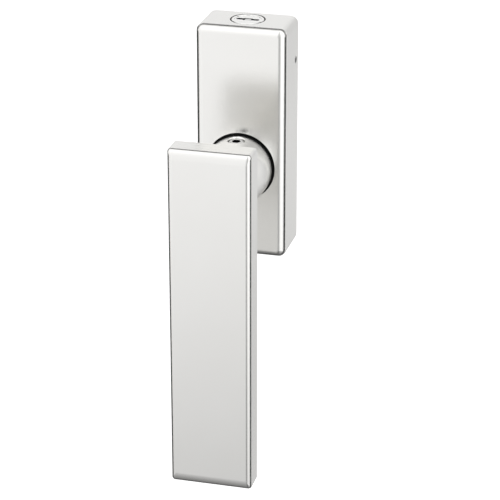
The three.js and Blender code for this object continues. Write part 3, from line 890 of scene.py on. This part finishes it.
def neck_drill():
    """A cutter for the tapped hole in the neck's top, with its countersink."""
    thread = 3.15 * MM
    foot = 3.0 * MM
    sink = 3.9 * MM
    sink_foot = NECK_RADIUS - 0.5 * MM
    sink_top = NECK_RADIUS + 0.25 * MM
    profile = [(thread, foot), (thread, sink_foot), (sink, sink_top)]
    return turned("grub_bore", profile, "up", NECK_SCREW_CENTRE, segments=64)


def neck():
    """The round neck: a taper from the ring to the grip, with the bores for what it holds."""
    rear = -neck_high.y
    tip = -neck_low.y
    shoulder = -bush_low.y + 0.12 * MM
    journal = 8.0 * MM
    edge = 0.2 * MM
    slim = 10.6 * MM
    edge_arc = arc(NECK_RADIUS - edge, shoulder + edge, edge, -QUARTER, 0, steps=5)
    taper = bezier(
        (NECK_RADIUS, 27 * MM),
        (NECK_RADIUS, 35 * MM),
        (slim, tip - 14 * MM),
        (slim, tip),
        steps=24,
    )
    profile = [
        (NECK_BORE, rear),
        (journal, rear),
        (journal, shoulder),
        *edge_arc,
        *taper,
        (GRIP_SCREW_HOLE, tip),
        (GRIP_SCREW_HOLE, NECK_BORE_END),
        (NECK_BORE, NECK_BORE_END),
    ]
    body = turned("neck_body", profile, closed=True, segments=160)
    paint(body, ALUMINIUM)
    square = rounded_square(half=spindle_high.x + PLAY, radius=0.3 * MM, steps=3)
    square_bore = prism("square_bore", "out", square, rear - PAST, -spindle_low.y + GAP)
    carve(body, [paint(cutter, ALUMINIUM) for cutter in (neck_drill(), square_bore, *dowel_holes())])
    fit(body, ALUMINIUM, "satin_aluminium", "handle", "neck")


def neck_screw():
    """The M6 set screw in the neck's top, with its hexagon socket."""
    radius = neck_screw_high.x
    top = math.sqrt(NECK_RADIUS**2 - radius**2) - 0.15 * MM
    extent = (NECK_SCREW_CENTRE, radius, neck_screw_low.z, top)
    screw = pin("neck_set_screw", extent, "up", first_edge=0.5 * MM, last_edge=0.4 * MM, segments=64)
    paint(screw, STEEL)
    outline = hexagon(0, -NECK_SCREW_OUT, across_flats=3.0 * MM)
    socket_depth = 3.0 * MM
    socket = prism("socket", "up", outline, top - socket_depth, top + PAST)
    # The hexagon socket takes painted shade.
    carve(screw, [paint(socket, PAINTED_HOLE_SHADE)])
    fit(screw, STEEL, "bright_steel", "handle", "neck_grub_screw")


def spindle():
    """The drawn steel square with broken edges and chamfered ends."""
    half = spindle_high.x
    chamfer = 0.9 * MM
    edge = 0.35 * MM
    rear = -spindle_high.y
    front = -spindle_low.y
    rings = []
    for inset, out in ((chamfer, rear), (0, rear + chamfer), (0, front - chamfer), (chamfer, front)):
        rings.append(ring_at("out", rounded_square(half - inset, edge, steps=5), out))
    bar = paint(loft("spindle_bar", rings), STEEL)
    pin_hole = bore_for("spindle_pin", "across", past=PAST)
    carve(bar, [paint(pin_hole, STEEL)])
    fit(bar, STEEL, "bright_steel", "handle", "spindle")


# ---------------------------------------------------------------- CAD pieces that stay


def finish_cad_nodes():
    """Gives every CAD node its finish and breaks the edges of the machined and cast ones."""
    smooth = smooth_by_angle()
    for name, node in frame["nodes"].items():
        node.data.materials.clear()
        node.data.materials.append(CAD_FINISHES[SLOTS[name]])
        node.modifiers.new("smooth_by_angle", "NODES").node_group = smooth
    for name in ("base_plate", "index_cam", "drive_cam", "lock_bolt", "retaining_ring", "thrust_washer"):
        soften(frame["nodes"][name], width=0.15 * MM)


# ---------------------------------------------------------------- studio


def calculate(tree, operation, *values):
    """A math node on sockets or numbers."""
    node = tree.nodes.new("ShaderNodeMath")
    node.operation = operation
    for socket, value in zip(node.inputs, values):
        if isinstance(value, (int, float)):
            socket.default_value = value
        else:
            tree.links.new(value, socket)
    return node.outputs["Value"]


def angle_share(degrees):
    """An angle as a place on a ramp: -180 degrees at 0 and 180 degrees at 1."""
    return 0.5 + degrees / 360


def height_share(degrees):
    """A height over the horizon as a place on a ramp: straight down at 0 and straight up at 1."""
    return 0.5 + 0.5 * math.sin(math.radians(degrees))


def ramp(tree, factor, share, stops):
    """A grey ramp from (degrees, brightness) stops, which the share function puts in their places."""
    node = tree.nodes.new("ShaderNodeValToRGB")
    elements = node.color_ramp.elements
    for element, (degrees, value) in zip(elements, (stops[0], stops[-1])):
        element.position = share(degrees)
        element.color = (*grey(value), 1)
    for degrees, value in stops[1:-1]:
        elements.new(share(degrees)).color = (*grey(value), 1)
    tree.links.new(factor, node.inputs["Fac"])
    return node.outputs["Color"]


def angle_from_front(tree, y, other):
    """The angle of a direction from straight out of the frame towards another axis, as a ramp's factor."""
    out = calculate(tree, "MULTIPLY", y, -1.0)
    angle = calculate(tree, "ARCTAN2", other, out)
    return calculate(tree, "ADD", calculate(tree, "DIVIDE", angle, FULL_TURN), 0.5)


def light_around(tree, azimuth):
    """The room along the horizon, 0 degrees in front and 90 at the right: white in front, with a greyer
    stretch just right of the middle, and a dark strip at either side."""
    return ramp(tree, azimuth, angle_share, [
        (-176, 0.85),
        (-147, 0.85),
        (-140, 0.03),
        (-88, 0.03),
        (-78, 0.97),
        (-7, 1.0),
        (3, 0.46),
        (23, 0.46),
        (31, 1.2),
        (80, 1.25),
        (88, 0.03),
        (122, 0.03),
        (129, 0.88),
        (143, 0.88),
        (152, 0.62),
        (175, 0.7),
    ])


def light_above(tree, azimuth, height):
    """What fills the dark strips above the horizon, and down to it where a side is seen square on."""
    above = ramp(tree, height, height_share, [(6, 0.0), (18, 1.0)])
    level_up = ramp(tree, height, height_share, [(-12, 0.0), (-4, 1.0)])
    square_on = ramp(tree, azimuth, angle_share, [
        (-106, 0.0),
        (-98, 1.0),
        (-75, 1.0),
        (-65, 0.0),
        (65, 0.0),
        (75, 1.0),
        (98, 1.0),
        (106, 0.0),
    ])
    sides = ramp(tree, azimuth, angle_share, [
        (-180, 0.8),
        (-50, 0.8),
        (-20, 0.2),
        (40, 0.2),
        (70, 0.75),
        (180, 0.8),
    ])
    above = calculate(tree, "MAXIMUM", above, calculate(tree, "MULTIPLY", level_up, square_on))
    return calculate(tree, "MULTIPLY", above, sides)


def light_by_height(tree, height):
    """Brightest overhead and in a line 21 degrees below the horizon, and dark towards the floor."""
    return ramp(tree, height, height_share, [
        (-90, 0.16),
        (-60, 0.25),
        (-40, 0.4),
        (-30, 0.56),
        (-26, 0.86),
        (-21, 1.18),
        (-16, 1.02),
        (-8, 1.03),
        (15, 1.1),
        (60, 1.3),
        (90, 1.3),
    ])


def light_behind(tree, azimuth, height):
    """What keeps the room behind the handle bright down to 40 degrees below the horizon."""
    behind = ramp(tree, azimuth, angle_share, [
        (-180, 0.95),
        (-150, 0.95),
        (-142, 0.0),
        (130, 0.0),
        (138, 0.95),
        (180, 0.95),
    ])
    shallow = ramp(tree, height, height_share, [(-55, 0.2), (-40, 1.0)])
    return calculate(tree, "MULTIPLY", behind, shallow)


def light_overhead(tree, over):
    """A dark strip high up at the back, which the round upper edges reflect."""
    return ramp(tree, over, angle_share, [
        (-180, 1.0),
        (102, 1.0),
        (110, 0.1),
        (138, 0.1),
        (144, 0.95),
        (180, 0.98),
    ])


def studio_light():
    """A room that lights the handle from all round, and that looks plain white to the camera."""
    world = bpy.data.worlds.new("studio")
    world.use_nodes = True
    bpy.context.scene.world = world
    tree = world.node_tree
    split = tree.nodes.new("ShaderNodeSeparateXYZ")
    direction = tree.nodes.new("ShaderNodeTexCoord").outputs["Generated"]
    tree.links.new(direction, split.inputs["Vector"])
    x, y, z = (split.outputs[name] for name in "XYZ")
    azimuth = angle_from_front(tree, y, x)
    over = angle_from_front(tree, y, z)
    height = calculate(tree, "MULTIPLY_ADD", z, 0.5, 0.5)
    around = calculate(tree, "MAXIMUM", light_around(tree, azimuth), light_above(tree, azimuth, height))
    upright = calculate(tree, "MAXIMUM", light_by_height(tree, height), light_behind(tree, azimuth, height))
    light = calculate(tree, "MULTIPLY", around, upright)
    light = calculate(tree, "MULTIPLY", light, light_overhead(tree, over))
    seen = tree.nodes.new("ShaderNodeLightPath").outputs["Is Camera Ray"]
    tree.links.new(calculate(tree, "MAXIMUM", light, seen), tree.nodes["Background"].inputs["Color"])


def studio_floor():
    """A plain white floor well below the handle."""
    half = 6.0
    corner = 0.5
    drop = 60 * MM
    thickness = 10 * MM
    top = CAD_BOX[0][2] - drop
    outline = rounded_square(half, corner, steps=8)
    floor = prism("floor", "up", outline, top - thickness, top)
    material, shader, coordinates = start_material("white_floor")
    cloud = noise(material, coordinates, scale=3)
    white = tint(material, cloud, grey(0.93), grey(0.95))
    material.node_tree.links.new(white, shader.inputs["Base Color"])
    shader.inputs["Roughness"].default_value = 0.9
    shader.inputs["Specular IOR Level"].default_value = 0.1
    shader.inputs["Emission Color"].default_value = (1, 1, 1, 1)
    shader.inputs["Emission Strength"].default_value = 0.4
    floor.visible_glossy = False
    paint(floor, material)


def camera():
    """An ordinary camera in front, to the right and above, without shift or depth of field."""
    azimuth = math.radians(14.66)
    elevation = math.radians(22.99)
    distance = 0.8
    target = Vector((6.8, -31.3, -28.0)) * MM
    level = math.cos(elevation)
    away = Vector((math.sin(azimuth) * level, -math.cos(azimuth) * level, math.sin(elevation)))
    data = bpy.data.cameras.new("camera")
    data.sensor_width = 36
    data.lens = 156
    eye = bpy.data.objects.new("camera", data)
    place = Matrix.Translation(target + away * distance)
    eye.matrix_world = place @ away.to_track_quat("Z", "Y").to_matrix().to_4x4()
    bpy.context.scene.collection.objects.link(eye)
    bpy.context.scene.camera = eye


# ---------------------------------------------------------------- the model

finish_cad_nodes()
housing()
neck_ring()
side_screw()
frame_screw("frame_screw_upper")
frame_screw("frame_screw_lower")
bolt_spring("bolt_spring_left")
bolt_spring("bolt_spring_right")
lock_cylinder()
lock_core()
key_shutter()
pin_stacks()
grip()
neck()
neck_screw()
spindle()
turned_pin("spindle_pin", "across", "handle")
turned_pin("grip_dowel_left", "out", "handle", nose=0.3 * MM)
turned_pin("grip_dowel_right", "out", "handle", nose=0.3 * MM)
studio_light()
studio_floor()
camera()
bpy.context.scene.view_settings.view_transform = "Standard"
